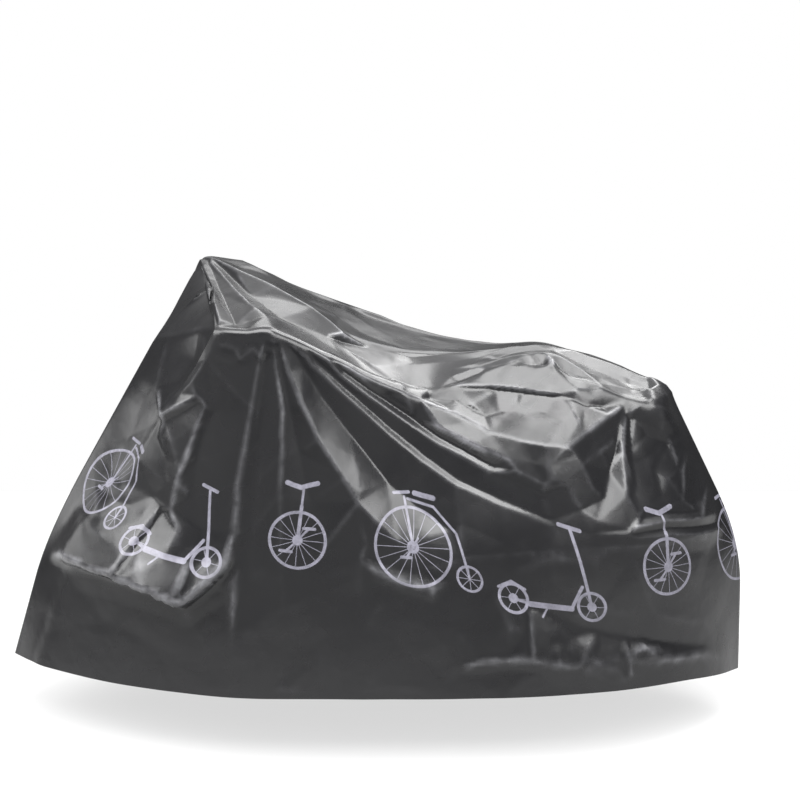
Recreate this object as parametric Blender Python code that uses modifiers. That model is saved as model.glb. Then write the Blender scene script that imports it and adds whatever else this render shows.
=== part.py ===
"""A draped bicycle cover: one thin film cover, hollow and open at its hem.

Metres, +Z up, +X towards the rear of the bicycle, -Y the near side. The tables give heights above
the ground. The origin of the finished part is under the cover's top, at the pad where the saddle
of whatever it covers holds it up.
"""
from collections import namedtuple

import bpy
import numpy as np

# ---- driving dimensions -------------------------------------------------------------------
FILM_THICKNESS = 0.002            # the film as a solid sheet
SEAT_PAD = (0.650, 0.010, 0.9044)  # film underside where the saddle holds it: x, y, height
CELLS_ALONG = 48                  # grid cells from the front edge to the rear edge
CELLS_UP = (9, 13, 6)             # grid cells hem to waist, waist to shoulder, shoulder to spine
WAIST_ROUND, SHOULDER_ROUND = 0.35, 0.10   # share of the neighbouring spans taken by a rounding
SHOULDER_LEVEL = 2.0              # hem 0, waist 1, shoulder 2, spine 3
SIDE_FADE = 0.25                  # levels over which a side's folds die out round the shoulder
EDGE_FADE = 0.10                  # distance over which they die out towards y = 0

# ---- sections, front edge to rear edge: each point is (x, y, height) ------------------------
# hem, waist and shoulder are on the near side, spine is the crease along the top, and
# far_shoulder is the shoulder of the other side. The far hem and waist mirror the near ones.
Section = namedtuple("Section", "name hem waist shoulder spine far_shoulder")
SECTIONS = (
    Section("front edge", (-0.561, 0.00, 0.141), (-0.470, 0.00, 0.450),
            (-0.205, 0.00, 0.925), (-0.100, 0.02, 1.026), (-0.205, 0.00, 0.925)),
    Section("grip front", (-0.455, -0.13, 0.158), (-0.345, -0.14, 0.480),
            (-0.036, -0.272, 1.030), (-0.062, 0.03, 1.036), (-0.110, 0.285, 1.045)),
    Section("grip middle", (-0.270, -0.25, 0.170), (-0.175, -0.25, 0.500),
            (0.025, -0.285, 1.032), (0.000, 0.02, 1.024), (-0.050, 0.297, 1.042)),
    Section("grip end", (-0.040, -0.33, 0.176), (0.025, -0.31, 0.500),
            (0.088, -0.280, 1.030), (0.085, 0.00, 1.006), (0.010, 0.290, 1.030)),
    Section("top tube front", (0.160, -0.345, 0.178), (0.175, -0.325, 0.500),
            (0.207, -0.240, 0.960), (0.180, -0.07, 0.978), (0.130, 0.250, 0.988)),
    Section("top tube middle", (0.360, -0.345, 0.177), (0.340, -0.320, 0.500),
            (0.315, -0.205, 0.895), (0.300, -0.09, 0.933), (0.265, 0.200, 0.948)),
    Section("saddle nose", (0.530, -0.34, 0.177), (0.500, -0.305, 0.500),
            (0.430, -0.160, 0.850), (0.440, -0.05, 0.908), (0.440, 0.135, 0.905)),
    Section("saddle middle", (0.680, -0.33, 0.177), (0.645, -0.285, 0.500),
            (0.583, -0.095, 0.884), (0.583, 0.00, 0.9055), (0.583, 0.095, 0.890)),
    Section("saddle rear", (0.800, -0.300, 0.172), (0.775, -0.255, 0.500),
            (0.696, -0.085, 0.892), (0.695, 0.01, 0.9055), (0.696, 0.090, 0.893)),
    Section("rack front", (0.920, -0.250, 0.163), (0.895, -0.215, 0.495),
            (0.800, -0.090, 0.848), (0.800, 0.01, 0.876), (0.800, 0.090, 0.855)),
    Section("rack middle", (1.030, -0.180, 0.150), (1.005, -0.160, 0.490),
            (0.885, -0.090, 0.813), (0.890, 0.01, 0.844), (0.885, 0.090, 0.818)),
    Section("rack rear", (1.120, -0.090, 0.125), (1.090, -0.085, 0.480),
            (0.955, -0.065, 0.800), (0.955, 0.00, 0.822), (0.955, 0.065, 0.802)),
    Section("rear edge", (1.178, 0.00, 0.102), (1.172, 0.00, 0.430),
            (0.995, 0.00, 0.795), (0.978, 0.00, 0.812), (0.995, 0.00, 0.795)),
)

# ---- folds: a route, how far it stands out (or in, below 0), and its reach on both sides ------
# left and right are as one walks the route. Side routes are (x, height), top routes are (x, y).
Fold = namedtuple("Fold", "name out left right route")
NEAR_FOLDS = (
    Fold("grip crease", 0.018, 0.075, 0.075,
         ((0.070, 1.02), (0.035, 0.85), (0.003, 0.68), (-0.006, 0.57), (-0.015, 0.28))),
    Fold("broad fold", 0.026, 0.085, 0.090,
         ((0.090, 1.01), (0.150, 0.86), (0.265, 0.705), (0.365, 0.59), (0.430, 0.45))),
    Fold("long fold", 0.026, 0.085, 0.100,
         ((0.110, 1.00), (0.240, 0.87), (0.490, 0.646), (0.711, 0.544), (0.882, 0.508), (1.10, 0.48))),
    Fold("saddle skirt", 0.036, 0.090, 0.110,
         ((0.409, 0.834), (0.561, 0.766), (0.675, 0.712), (0.732, 0.707), (0.797, 0.761), (0.85, 0.80))),
    Fold("rack crease", 0.022, 0.085, 0.080,
         ((0.872, 0.77), (0.872, 0.726), (0.876, 0.618), (0.885, 0.49))),
    Fold("front ledge", 0.024, 0.130, 0.080,
         ((-0.350, 0.44), (-0.266, 0.42), (-0.119, 0.386), (-0.051, 0.443), (-0.016, 0.502))),
    Fold("front valley", -0.035, 0.080, 0.080, ((-0.070, 1.03), (-0.180, 0.81), (-0.300, 0.67))),
    Fold("low valley", -0.022, 0.090, 0.090,
         ((0.465, 0.465), (0.594, 0.44), (0.688, 0.39), (0.860, 0.317), (1.048, 0.241))),
    Fold("low ledge", 0.016, 0.090, 0.080,
         ((0.536, 0.261), (0.677, 0.253), (0.850, 0.232), (1.000, 0.207), (1.100, 0.17))),
)
FAR_FOLDS = (
    Fold("far grip crease", 0.018, 0.075, 0.075,
         ((0.000, 1.02), (-0.040, 0.80), (-0.060, 0.55), (-0.060, 0.30))),
    Fold("far broad fold", 0.026, 0.090, 0.085,
         ((0.020, 1.01), (0.100, 0.85), (0.220, 0.68), (0.330, 0.48))),
    Fold("far long fold", 0.026, 0.100, 0.085,
         ((0.050, 1.00), (0.200, 0.86), (0.430, 0.68), (0.700, 0.56), (1.020, 0.50))),
    Fold("far saddle skirt", 0.032, 0.110, 0.090,
         ((0.420, 0.83), (0.560, 0.76), (0.720, 0.73), (0.840, 0.79))),
    Fold("far rack crease", 0.022, 0.080, 0.085, ((0.860, 0.77), (0.880, 0.62), (0.900, 0.45))),
    Fold("far front ledge", 0.020, 0.120, 0.080, ((-0.330, 0.46), (-0.220, 0.42), (-0.060, 0.46))),
    Fold("far front valley", -0.025, 0.080, 0.080, ((-0.120, 1.02), (-0.230, 0.80))),
    Fold("far low valley", -0.022, 0.090, 0.090, ((0.250, 0.44), (0.560, 0.36), (0.960, 0.27))),
)
TOP_FOLDS = (
    Fold("top crease", 0.010, 0.080, 0.080,
         ((-0.070, 0.23), (0.080, 0.05), (0.135, -0.02), (0.220, -0.09), (0.310, -0.08), (0.500, -0.03))),
    Fold("tent fold", 0.008, 0.070, 0.070, ((-0.090, 0.26), (0.100, -0.16))),
)
SIDE_TAPER, TOP_TAPER = 0.12, 0.20   # share of a route over which a fold rises at its ends

FILM_COLOUR = (0.040, 0.040, 0.043, 1.0)
FILM_ROUGHNESS = 0.30


def catmull_rom(rows, places):
    """Points at the given places (0 to len(rows) - 1) of a smooth line through the rows."""
    rows = np.asarray(rows, float)
    padded = np.vstack([2 * rows[0] - rows[1], rows, 2 * rows[-1] - rows[-2]])
    span = np.clip(places.astype(int), 0, len(rows) - 2)
    t = (places - span)[:, None]
    a, b, c, d = (padded[span + k] for k in range(4))
    return 0.5 * (2 * b + (c - a) * t + (2 * a - 5 * b + 4 * c - d) * t ** 2
                  + (3 * b - a - 3 * c + d) * t ** 3)


def rounded_line(corners, rounding, places):
    """A line through the corners, each inner corner rounded over a share of its two spans."""
    points = []
    for place in places:
        span = min(int(place), len(corners) - 2)
        point = corners[span] + (corners[span + 1] - corners[span]) * (place - span)
        for corner, share in rounding.items():
            if abs(place - corner) < share:
                s = (place - corner + share) / (2 * share)
                before = corners[corner] + (corners[corner - 1] - corners[corner]) * share
                after = corners[corner] + (corners[corner + 1] - corners[corner]) * share
                point = before * (1 - s) ** 2 + 2 * corners[corner] * s * (1 - s) + after * s ** 2
        points.append(point)
    return np.array(points)


def side_points(far, along, levels):
    """The grid of one side, [level][place along], from the hem up to the spine."""
    names = ("hem", "waist", "far_shoulder" if far else "shoulder", "spine")
    lines = [catmull_rom([getattr(row, name) for row in SECTIONS], along) for name in names]
    if far:
        lines[0], lines[1] = (line * (1, -1, 1) for line in lines[:2])
    return rounded_line(lines, {1: WAIST_ROUND, 2: SHOULDER_ROUND}, levels)


def cover_grid(cells_along, cells_up):
    """The smooth cover: its points, the level of each, and its faces, wound to face outwards."""
    along = np.linspace(0, len(SECTIONS) - 1, cells_along + 1)
    levels = np.concatenate([np.linspace(k, k + 1, cells, endpoint=False)
                             for k, cells in enumerate(cells_up)] + [[len(cells_up)]])
    near, far = (side_points(is_far, along, levels) for is_far in (False, True))
    rows, columns = len(levels), cells_along + 1
    near_ids = np.arange(rows * columns).reshape(rows, columns)
    far_ids = near_ids.copy()                  # the sides share the front, rear and spine lines
    inner = np.s_[:-1, 1:-1]
    far_ids[inner] = near_ids.size + np.arange((rows - 1) * (columns - 2)).reshape(rows - 1, -1)
    points = np.vstack([near.reshape(-1, 3), far[inner].reshape(-1, 3)])
    point_levels = np.concatenate([np.repeat(levels, columns), np.repeat(levels[:-1], columns - 2)])
    faces = []
    for ids, order in ((near_ids, (0, 1, 2, 3)), (far_ids, (3, 2, 1, 0))):
        corners = np.stack([ids[:-1, :-1], ids[:-1, 1:], ids[1:, 1:], ids[1:, :-1]], axis=-1)
        faces.append(corners.reshape(-1, 4)[:, order])
    return points, point_levels, np.vstack(faces)


def smooth_step(value):
    value = np.clip(value, 0.0, 1.0)
    return value * value * (3 - 2 * value)


def point_normals(points, faces):
    """Outward normals, each face weighing by its area."""
    quads = points[faces]
    face_normals = np.cross(quads[:, 2] - quads[:, 0], quads[:, 3] - quads[:, 1])
    normals = np.zeros_like(points)
    for corner in range(4):
        np.add.at(normals, faces[:, corner], face_normals)
    return normals / np.linalg.norm(normals, axis=1)[:, None]


def fold_heights(plane_points, fold, taper):
    """How far a fold lifts each point of a plane: a soft ridge along its route."""
    route = np.array(fold.route)
    steps = np.diff(route, axis=0)
    lengths = np.linalg.norm(steps, axis=1)
    starts = np.concatenate([[0.0], np.cumsum(lengths)[:-1]])
    best = np.full(len(plane_points), np.inf)
    side, walked = np.zeros(len(plane_points)), np.zeros(len(plane_points))
    for start, step, length, walked_before in zip(route[:-1], steps, lengths, starts):
        offset = plane_points - start
        t = np.clip(offset @ step / length ** 2, 0.0, 1.0)
        gap = np.linalg.norm(offset - t[:, None] * step, axis=1)
        closer = gap < best
        best[closer] = gap[closer]
        side[closer] = (step[0] * offset[:, 1] - step[1] * offset[:, 0])[closer]
        walked[closer] = (walked_before + t * length)[closer]
    share = walked / lengths.sum()
    reach = np.where(side > 0, fold.left, fold.right)
    across = np.clip(1 - (best / reach) ** 2, 0.0, 1.0) ** 2
    return fold.out * across * smooth_step(share / taper) * smooth_step((1 - share) / taper)


def folded(points, levels, faces):
    """The points with every fold lifted off the smooth cover along its normals."""
    on_side = smooth_step((SHOULDER_LEVEL + SIDE_FADE - levels) / (2 * SIDE_FADE))
    groups = ((NEAR_FOLDS, (0, 2), SIDE_TAPER, on_side * smooth_step(-points[:, 1] / EDGE_FADE)),
              (FAR_FOLDS, (0, 2), SIDE_TAPER, on_side * smooth_step(points[:, 1] / EDGE_FADE)),
              (TOP_FOLDS, (0, 1), TOP_TAPER, 1 - on_side))
    lift = np.zeros(len(points))
    for folds, plane, taper, weight in groups:
        for fold in folds:
            lift += weight * fold_heights(points[:, plane], fold, taper)
    return points + lift[:, None] * point_normals(points, faces)


def film_material():
    material = bpy.data.materials.new("film")
    material.use_nodes = True
    shader = material.node_tree.nodes["Principled BSDF"]
    shader.inputs["Base Color"].default_value = FILM_COLOUR
    shader.inputs["Roughness"].default_value = FILM_ROUGHNESS
    shader.inputs["Metallic"].default_value = 0.0
    return material


def build_cover(collection):
    points, levels, faces = cover_grid(CELLS_ALONG, CELLS_UP)
    points = folded(points, levels, faces) - np.array(SEAT_PAD)
    mesh = bpy.data.meshes.new("cover")
    mesh.from_pydata(points.tolist(), [], faces.tolist())
    mesh.shade_smooth()
    mesh.materials.append(film_material())
    cover = bpy.data.objects.new("cover", mesh)
    collection.objects.link(cover)
    shell = cover.modifiers.new("film thickness", "SOLIDIFY")
    shell.thickness = FILM_THICKNESS
    shell.offset = -1.0
    return cover


def main():
    for thing in list(bpy.data.objects):
        bpy.data.objects.remove(thing)
    collection = bpy.data.collections.new("bicycle_cover")
    bpy.context.scene.collection.children.link(collection)
    build_cover(collection)


if __name__ == "__main__":
    main()
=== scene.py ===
"""The looks of the draped bicycle cover: film, creases, print, studio.

Metres, in the row frame. The tables of sections and folds give heights above the ground, as the
part's own source does, and SEAT_PAD takes them to the row frame.
"""

import math
from collections import namedtuple

import bpy
import numpy as np
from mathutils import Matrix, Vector
from mathutils.geometry import delaunay_2d_cdt


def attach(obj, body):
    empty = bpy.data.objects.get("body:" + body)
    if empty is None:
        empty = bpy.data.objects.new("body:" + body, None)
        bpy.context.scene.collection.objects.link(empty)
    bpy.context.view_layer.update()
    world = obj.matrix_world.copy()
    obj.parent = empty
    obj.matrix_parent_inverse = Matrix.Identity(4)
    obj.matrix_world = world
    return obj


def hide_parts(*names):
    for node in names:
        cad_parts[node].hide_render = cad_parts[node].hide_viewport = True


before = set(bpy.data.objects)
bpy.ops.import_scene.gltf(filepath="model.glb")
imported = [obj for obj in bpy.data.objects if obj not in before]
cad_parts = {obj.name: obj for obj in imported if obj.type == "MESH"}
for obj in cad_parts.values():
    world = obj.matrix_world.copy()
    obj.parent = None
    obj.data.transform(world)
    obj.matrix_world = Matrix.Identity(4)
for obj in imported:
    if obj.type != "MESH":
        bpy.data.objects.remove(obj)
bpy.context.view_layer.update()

# ---- the drape, as in the part's source, with one section more and a sharper shoulder ---------
SEAT_PAD = np.array((0.650, 0.010, 0.9044))
WAIST_ROUND, SHOULDER_ROUND = 0.35, 0.04
SHOULDER_LEVEL, SIDE_FADE, EDGE_FADE = 2.0, 0.12, 0.10

CELLS_ALONG = 288                 # grid cells from the front edge to the rear edge
CELLS_UP = (36, 96, 41)           # hem to waist, waist to shoulder, shoulder to spine
LOOSE_SPACING, LOOSE_PUSH = 0.090, 0.0015   # facets where there is no crease
CRISPNESS = 0.5                   # 1 for knife-edged creases, 0 for ones rounded over a grid cell
SNAP = 0.0033                     # grid points this near a crease move on to it
LEAST_SHARE = 0.15                # a cell keeps at least this share of its area
CREST_HEIGHT = 0.00065            # a crease this crisp gets the full painted crest highlight
FULLY_ON, FACING = 0.95, 0.50     # least weight, and least share of the normal, where points snap
SOFT = "heel"                     # no point snaps to a crease with this in its name
JITTER, LOOSE_GAP = 0.40, 0.6     # of a spacing: scatter of loose points, and their gap to a crease
CRUMPLE_FADE = 0.5                # share of its radii over which a crumple dies out
FINE_PLACES = 1201                # places at which the drape's length is measured
MERGED, NO_AREA, EDGE_SLACK = 1e-6, 1e-12, 1e-9    # tolerances for facets

Section = namedtuple("Section", "name hem waist shoulder spine far_shoulder")
SECTIONS = (
    Section("front edge", (-0.561, 0.00, 0.141), (-0.470, 0.00, 0.450),
            (-0.205, 0.00, 0.925), (-0.100, 0.02, 1.026), (-0.205, 0.00, 0.925)),
    Section("tent front", (-0.513, -0.066, 0.150), (-0.410, -0.072, 0.466),
            (-0.059, -0.236, 1.016), (-0.067, 0.03, 1.035), (-0.123, 0.245, 1.029)),
    Section("grip front", (-0.455, -0.13, 0.158), (-0.345, -0.14, 0.480),
            (-0.036, -0.272, 1.030), (-0.062, 0.03, 1.036), (-0.110, 0.285, 1.045)),
    Section("grip middle", (-0.270, -0.25, 0.170), (-0.175, -0.25, 0.500),
            (0.025, -0.285, 1.032), (0.000, 0.02, 1.024), (-0.050, 0.297, 1.042)),
    Section("grip end", (-0.040, -0.33, 0.176), (0.025, -0.31, 0.500),
            (0.088, -0.280, 1.030), (0.085, 0.00, 1.006), (0.010, 0.290, 1.030)),
    Section("top tube front", (0.160, -0.345, 0.178), (0.175, -0.325, 0.500),
            (0.207, -0.240, 0.960), (0.180, -0.07, 0.978), (0.130, 0.250, 0.988)),
    Section("top tube middle", (0.360, -0.345, 0.177), (0.340, -0.320, 0.500),
            (0.315, -0.205, 0.895), (0.300, -0.09, 0.933), (0.265, 0.200, 0.948)),
    Section("saddle nose", (0.530, -0.34, 0.177), (0.500, -0.305, 0.500),
            (0.430, -0.160, 0.850), (0.440, -0.05, 0.908), (0.440, 0.135, 0.905)),
    Section("saddle middle", (0.680, -0.33, 0.177), (0.645, -0.285, 0.500),
            (0.583, -0.095, 0.884), (0.583, 0.00, 0.9055), (0.583, 0.095, 0.890)),
    Section("saddle rear", (0.800, -0.300, 0.172), (0.775, -0.255, 0.500),
            (0.696, -0.085, 0.892), (0.695, 0.01, 0.9055), (0.696, 0.090, 0.893)),
    Section("rack front", (0.920, -0.250, 0.163), (0.895, -0.215, 0.495),
            (0.800, -0.090, 0.848), (0.800, 0.01, 0.876), (0.800, 0.090, 0.855)),
    Section("rack middle", (1.030, -0.180, 0.150), (1.005, -0.160, 0.490),
            (0.885, -0.090, 0.813), (0.890, 0.01, 0.844), (0.885, 0.090, 0.818)),
    Section("rack rear", (1.120, -0.090, 0.125), (1.090, -0.085, 0.480),
            (0.955, -0.065, 0.800), (0.955, 0.00, 0.822), (0.955, 0.065, 0.802)),
    Section("rear edge", (1.178, 0.00, 0.102), (1.172, 0.00, 0.430),
            (0.995, 0.00, 0.795), (0.978, 0.00, 0.812), (0.995, 0.00, 0.795)),
)

# ---- creases: the film hangs in flat facets between them ------------------------------------------
# A route's points are (place, place, out): out is how far the crease stands out from the smooth drape,
# in millimetres, or in below 0. Side routes run over (x, height) and top routes over (x, y).
Crease = namedtuple("Crease", "name route")
NEAR_CREASES = (
    # the fan from the near peak, down and back
    Crease("grip pleat", ((0.066, 1.008, 3), (0.055, 0.968, 6), (0.036, 0.857, 9), (0.020, 0.765, 9),
           (0.004, 0.683, 9), (-0.005, 0.569, 8), (-0.010, 0.450, 6), (-0.016, 0.300, 4),
           (-0.018, 0.190, 2))),
    Crease("grip pleat rear", ((0.070, 0.995, 0), (0.070, 0.960, -2), (0.062, 0.851, -4),
           (0.048, 0.765, -5), (0.034, 0.676, -4), (0.022, 0.560, -2), (0.014, 0.440, 0))),
    Crease("soft fold", ((0.086, 1.000, 0), (0.092, 0.940, 2), (0.104, 0.850, 5), (0.102, 0.750, 7),
           (0.097, 0.660, 6), (0.097, 0.530, 3))),
    Crease("soft fold heel", ((0.094, 0.998, -1), (0.102, 0.940, -2), (0.120, 0.850, -4),
           (0.142, 0.750, -6), (0.168, 0.640, -5), (0.180, 0.520, -1))),
    Crease("broad fold", ((0.100, 1.000, 2), (0.116, 0.940, 5), (0.142, 0.870, 10), (0.180, 0.780, 14),
           (0.236, 0.690, 16), (0.268, 0.635, 16), (0.290, 0.540, 5))),
    Crease("broad fold upright", ((0.264, 0.735, 0), (0.268, 0.704, 6), (0.272, 0.660, 13))),
    Crease("broad fold heel", ((0.126, 0.988, -1), (0.150, 0.940, -2), (0.196, 0.866, -5),
           (0.258, 0.780, -9), (0.340, 0.672, -13), (0.420, 0.604, -12), (0.480, 0.560, -4))),
    Crease("long fold", ((0.112, 1.003, 2), (0.166, 0.950, 4), (0.238, 0.873, 4), (0.337, 0.776, 4),
           (0.409, 0.712, 6), (0.487, 0.654, 10), (0.589, 0.605, 17), (0.709, 0.555, 23),
           (0.794, 0.535, 25), (0.878, 0.525, 26))),
    Crease("long fold top", ((0.172, 0.960, 1), (0.244, 0.884, 0), (0.343, 0.787, 1), (0.415, 0.723, 3),
           (0.492, 0.665, 7), (0.591, 0.616, 15), (0.700, 0.570, 22))),
    Crease("upper long fold", ((0.134, 1.001, 2), (0.160, 0.978, 4), (0.231, 0.915, 6), (0.295, 0.860, 8),
           (0.389, 0.784, 12), (0.440, 0.745, 16), (0.567, 0.672, 26), (0.680, 0.620, 32),
           (0.765, 0.586, 31))),
    Crease("upper long fold top", ((0.168, 0.988, 1), (0.239, 0.926, 2), (0.302, 0.871, 4),
           (0.396, 0.796, 8), (0.447, 0.757, 13), (0.572, 0.684, 24))),
    Crease("under the shoulder", ((0.140, 1.000, 3), (0.200, 0.955, 13), (0.256, 0.920, 20),
           (0.310, 0.887, 27), (0.360, 0.860, 33))),
    # the skirt that hangs below the middle of the top
    Crease("skirt edge", ((0.400, 0.838, 32), (0.476, 0.800, 34), (0.522, 0.775, 39), (0.561, 0.750, 45),
           (0.635, 0.728, 54), (0.690, 0.718, 60), (0.731, 0.714, 62), (0.771, 0.741, 47),
           (0.837, 0.780, 24), (0.872, 0.800, 8))),
    Crease("skirt shade", ((0.440, 0.775, 31), (0.520, 0.728, 42), (0.600, 0.694, 48),
           (0.660, 0.680, 50))),
    Crease("skirt zigzag", ((0.428, 0.836, 10), (0.493, 0.822, 15), (0.552, 0.786, 25), (0.607, 0.797, 19),
           (0.640, 0.786, 24), (0.690, 0.790, 21))),
    Crease("skirt pleat", ((0.522, 0.813, 22), (0.561, 0.782, 30))),
    Crease("skirt corner", ((0.728, 0.822, 12), (0.729, 0.770, 37), (0.731, 0.722, 58))),
    Crease("skirt back facet", ((0.755, 0.815, 15), (0.785, 0.800, 13), (0.828, 0.796, 5))),
    Crease("skirt back fold", ((0.752, 0.790, 30), (0.762, 0.765, 40))),
    Crease("pocket lip", ((0.415, 0.866, 9), (0.477, 0.860, 12), (0.563, 0.850, 14), (0.649, 0.838, 14),
           (0.706, 0.830, 13), (0.729, 0.829, 13), (0.763, 0.836, 18), (0.821, 0.836, 14),
           (0.873, 0.815, 5))),
    Crease("pocket foot", ((0.430, 0.857, 5), (0.505, 0.850, 6), (0.591, 0.840, 7), (0.683, 0.828, 8),
           (0.715, 0.823, 9))),
    # behind the skirt
    Crease("third fold", ((0.690, 0.676, 57), (0.748, 0.700, 56), (0.795, 0.726, 38), (0.862, 0.764, 14))),
    Crease("third fold foot", ((0.700, 0.652, 52), (0.764, 0.676, 50), (0.812, 0.702, 34),
           (0.856, 0.730, 17))),
    Crease("third facet", ((0.618, 0.672, 45), (0.686, 0.640, 46), (0.735, 0.636, 45),
           (0.790, 0.628, 36))),
    Crease("rack crease", ((0.880, 0.778, 8), (0.871, 0.745, 17), (0.867, 0.700, 23), (0.872, 0.605, 26),
           (0.878, 0.535, 25))),
    Crease("rack crease front", ((0.850, 0.690, 12), (0.836, 0.660, 16), (0.820, 0.605, 24),
           (0.804, 0.560, 28))),
    Crease("rack crease rear", ((0.889, 0.770, 2), (0.888, 0.700, 8), (0.896, 0.620, 17),
           (0.902, 0.560, 24))),
    Crease("right facet", ((0.892, 0.604, 19), (0.925, 0.582, 18), (0.966, 0.566, 14))),
    Crease("rack flap", ((0.885, 0.812, 8), (0.915, 0.800, 17), (0.950, 0.788, 20), (0.990, 0.760, 14))),
    Crease("under the flap", ((0.930, 0.730, 0), (0.980, 0.700, 0), (1.022, 0.676, 2))),
    Crease("flap fold", ((0.900, 0.770, 5), (0.968, 0.730, 5), (1.027, 0.704, 8))),
    Crease("rear hollow", ((0.930, 0.720, 2), (0.945, 0.650, 7), (0.960, 0.595, 10))),
    Crease("rear roll", ((0.985, 0.700, 4), (1.000, 0.640, 9), (1.010, 0.575, 12))),
    Crease("rear light", ((0.974, 0.628, 12), (1.011, 0.634, 11))),
    Crease("rear facet front", ((1.036, 0.670, 0), (1.040, 0.605, 1), (1.044, 0.555, 5))),
    Crease("rear facet", ((1.050, 0.640, 2), (1.085, 0.590, 10), (1.060, 0.545, 13))),
    Crease("rear upper line", ((0.893, 0.538, 31), (0.964, 0.541, 22), (1.053, 0.524, 15),
           (1.108, 0.514, 6))),
    Crease("rear upper line top", ((0.912, 0.553, 20), (0.970, 0.556, 13), (1.050, 0.538, 9))),
    Crease("rear line valley", ((0.903, 0.526, 21), (0.975, 0.524, 12), (1.048, 0.507, 7),
           (1.100, 0.495, 1))),
    Crease("rear lower line", ((0.897, 0.514, 24), (0.982, 0.508, 18), (1.046, 0.491, 14),
           (1.094, 0.482, 8))),
    Crease("long fold foot", ((0.500, 0.575, 3), (0.600, 0.530, 10), (0.700, 0.492, 17), (0.800, 0.480, 20),
           (0.890, 0.475, 18), (1.000, 0.470, 9), (1.090, 0.445, 0))),
    # the front: a hollow beside the peak, a bright panel and its ledge
    Crease("tent foot", ((-0.040, 1.018, 0), (-0.064, 0.960, 2), (-0.096, 0.905, 3), (-0.128, 0.868, 2))),
    Crease("front hollow", ((-0.082, 1.020, -12), (-0.112, 0.940, -16), (-0.140, 0.890, -12),
           (-0.158, 0.856, -3))),
    Crease("black line", ((-0.140, 1.000, 0), (-0.168, 0.940, 0), (-0.192, 0.850, -1))),
    Crease("front valley", ((-0.175, 0.806, -8), (-0.254, 0.742, -16), (-0.314, 0.691, -16),
           (-0.350, 0.644, -12), (-0.400, 0.575, -6), (-0.440, 0.520, -2))),
    Crease("front valley foot", ((-0.190, 0.760, -10), (-0.250, 0.700, -14), (-0.305, 0.641, -12),
           (-0.350, 0.600, -6), (-0.400, 0.540, -3), (-0.440, 0.490, 0), (-0.470, 0.440, 2))),
    Crease("front panel middle", ((-0.435, 0.452, 11), (-0.395, 0.470, 20), (-0.350, 0.500, 25),
           (-0.322, 0.520, 24))),
    Crease("tab top", ((-0.168, 0.842, 0), (-0.118, 0.893, -4))),
    Crease("tab", ((-0.172, 0.810, 10), (-0.131, 0.842, 16), (-0.088, 0.874, 7))),
    Crease("tab foot", ((-0.166, 0.797, 4), (-0.122, 0.828, 3), (-0.080, 0.860, 1))),
    Crease("front ridge 2", ((-0.155, 0.792, 5), (-0.143, 0.761, 11), (-0.129, 0.720, 14),
           (-0.133, 0.663, 15))),
    Crease("front ridge 2 front", ((-0.172, 0.765, 0), (-0.160, 0.715, 1), (-0.158, 0.660, 4))),
    Crease("front ridge", ((-0.068, 0.852, 4), (-0.084, 0.805, 11), (-0.110, 0.727, 16),
           (-0.132, 0.668, 17))),
    Crease("front ridge rear", ((-0.046, 0.845, -1), (-0.068, 0.800, 0), (-0.094, 0.722, 2),
           (-0.100, 0.640, 4), (-0.085, 0.570, 6))),
    Crease("front panel crest", ((-0.200, 0.620, -10), (-0.150, 0.602, 8), (-0.132, 0.560, 18))),
    Crease("ledge", ((-0.475, 0.396, 7), (-0.430, 0.413, 22), (-0.390, 0.422, 36), (-0.348, 0.427, 47),
           (-0.265, 0.427, 66), (-0.179, 0.416, 76), (-0.119, 0.392, 76), (-0.051, 0.457, 44),
           (-0.017, 0.507, 22), (-0.014, 0.540, 12))),
    Crease("ledge foot", ((-0.475, 0.384, 0), (-0.430, 0.402, 4), (-0.390, 0.411, 6), (-0.348, 0.416, 8),
           (-0.265, 0.416, 10), (-0.179, 0.405, 10), (-0.118, 0.380, 8), (-0.045, 0.446, 6),
           (-0.006, 0.498, 3))),
    Crease("under the ledge", ((-0.475, 0.346, 0), (-0.360, 0.360, 1), (-0.265, 0.364, 1),
           (-0.186, 0.356, 1), (-0.112, 0.334, 1), (-0.030, 0.400, 2), (0.012, 0.480, 1))),
    Crease("front corner", ((-0.178, 0.601, 0), (-0.208, 0.544, 24), (-0.237, 0.488, 48),
           (-0.262, 0.434, 66))),
    Crease("front corner rear", ((-0.171, 0.598, -5), (-0.201, 0.541, 16), (-0.230, 0.486, 40),
           (-0.254, 0.436, 59))),
    Crease("front facet", ((-0.203, 0.472, 54), (-0.156, 0.495, 40), (-0.105, 0.508, 30))),
    Crease("front facet foot", ((-0.203, 0.455, 60), (-0.179, 0.438, 65), (-0.152, 0.414, 72))),
    Crease("front point", ((-0.100, 0.505, 33), (-0.109, 0.451, 56), (-0.118, 0.402, 71))),
    Crease("front point rear", ((-0.080, 0.500, 24), (-0.067, 0.474, 38), (-0.054, 0.460, 43))),
    Crease("front point heel", ((-0.094, 0.480, 34), (-0.098, 0.440, 49))),
    Crease("front panel pleat", ((-0.312, 0.545, 14), (-0.298, 0.508, 31), (-0.286, 0.473, 43))),
    # below the waist
    Crease("low shoulder", ((0.500, 0.500, 2), (0.620, 0.462, 3), (0.720, 0.420, 3), (0.820, 0.382, 2),
           (0.950, 0.330, 2), (1.080, 0.270, 1))),
    Crease("low valley", ((0.480, 0.452, -1), (0.570, 0.428, -3), (0.636, 0.396, -6), (0.728, 0.354, -7),
           (0.798, 0.324, -7), (0.893, 0.288, -6), (0.990, 0.254, -5), (1.100, 0.212, -2))),
    Crease("low light top", ((0.645, 0.386, -6), (0.733, 0.336, -6), (0.822, 0.308, -6), (0.893, 0.280, -6),
           (1.014, 0.240, -3))),
    Crease("low ledge", ((0.500, 0.256, 1), (0.541, 0.262, 6), (0.604, 0.264, 7), (0.667, 0.262, 9),
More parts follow.
